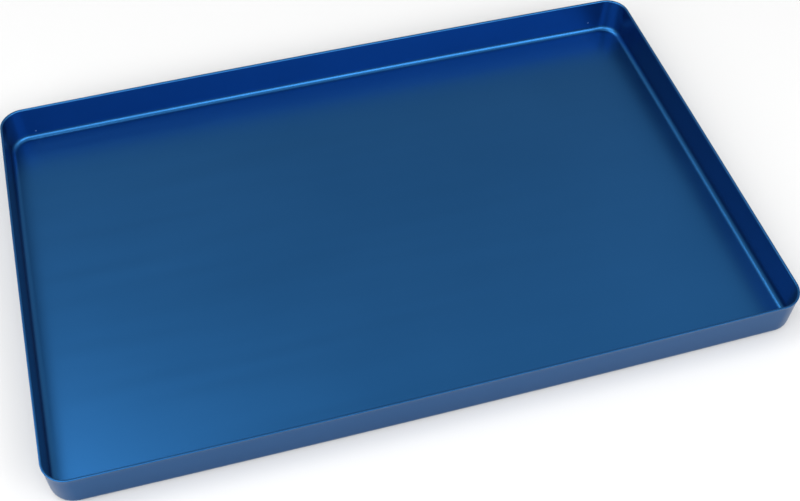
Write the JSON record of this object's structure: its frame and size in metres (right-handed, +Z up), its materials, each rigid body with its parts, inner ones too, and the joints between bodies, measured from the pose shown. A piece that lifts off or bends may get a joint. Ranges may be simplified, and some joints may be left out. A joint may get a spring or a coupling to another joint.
{
  "type": "instrument tray",
  "caption": "Shallow rectangular tray drawn from one aluminium sheet, with rounded corners, upright walls and a plain open rim, for laying out and carrying small instruments.",
  "frame": {"origin": "centre of the flat underside, on the surface that the tray stands on", "axes": "+X along the long side, +Y along the short side, +Z up out of the open top"},
  "size_m": [0.284, 0.183, 0.017],
  "materials": {
    "anodised_shell": "satin blue anodised, fine matt etch"
  },
  "bodies": {
    "root": {"tray_shell": "anodised_shell"}
  },
  "joints": []
}
